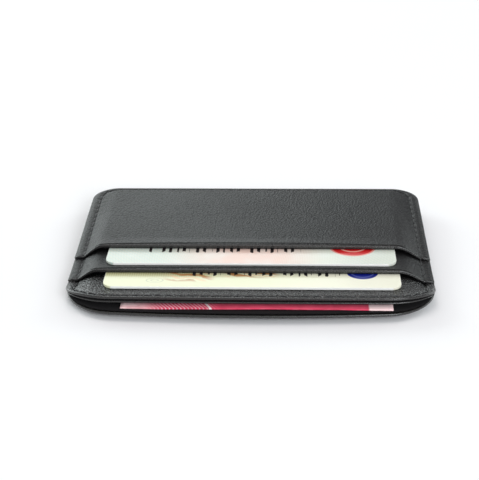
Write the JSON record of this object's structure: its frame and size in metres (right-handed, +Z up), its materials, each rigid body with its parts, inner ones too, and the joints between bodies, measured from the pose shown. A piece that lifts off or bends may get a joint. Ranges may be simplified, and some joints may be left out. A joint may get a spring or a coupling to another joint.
{
  "type": "card holder",
  "caption": "Slim leather card holder with stacked card pockets on both faces, an open centre pocket, sliding cards and a folded note.",
  "frame": {"origin": "centre of the holder's plan outline, at the level of the face it rests on", "axes": "+X to the right along the card pockets' mouths, +Y towards the closed rear edge, +Z up out of the front face"},
  "size_m": [0.1072, 0.081, 0.0091],
  "materials": {
    "leather": "fine pebbled black leather with a soft sheen",
    "lining": "woven black lining",
    "board": "matt pressed fibre board",
    "thread": "waxed polyester thread",
    "card_upper": "laminated plastic card, pale print",
    "card_lower": "laminated plastic card, cream print",
    "note_paper": "crisp cotton paper, crimson print"
  },
  "bodies": {
    "holder": {"back_pocket_upper": "leather", "back_pocket_lower": "leather", "back_panel": "leather", "back_board": "board", "back_lining": "lining", "front_lining": "lining", "front_board": "board", "front_panel": "leather", "front_pocket_lower": "leather", "front_pocket_upper": "leather", "front_pocket_lower_lining": "lining", "front_pocket_upper_lining": "lining", "back_pocket_lower_lining": "lining", "back_pocket_upper_lining": "lining", "outer_seam_top": "thread", "outer_seam_bottom": "thread", "front_mouth_seam": "thread", "back_mouth_seam": "thread", "front_floor_seam": "thread"},
    "card_upper": {"card_upper": "card_upper"},
    "card_lower": {"card_lower": "card_lower"},
    "banknote": {"banknote": "note_paper"}
  },
  "joints": [
    {"name": "card_upper_slide", "type": "slide", "parent": "holder", "child": "card_upper", "axis": [0, -0.9998, 0.0218], "range_m": [0, 0.075]},
    {"name": "card_lower_slide", "type": "slide", "parent": "holder", "child": "card_lower", "axis": [0, -0.9998, 0.0218], "range_m": [0, 0.065]},
    {"name": "banknote_slide", "type": "slide", "parent": "holder", "child": "banknote", "axis": [0, -1, 0], "range_m": [-0.007, 0.042]}
  ]
}
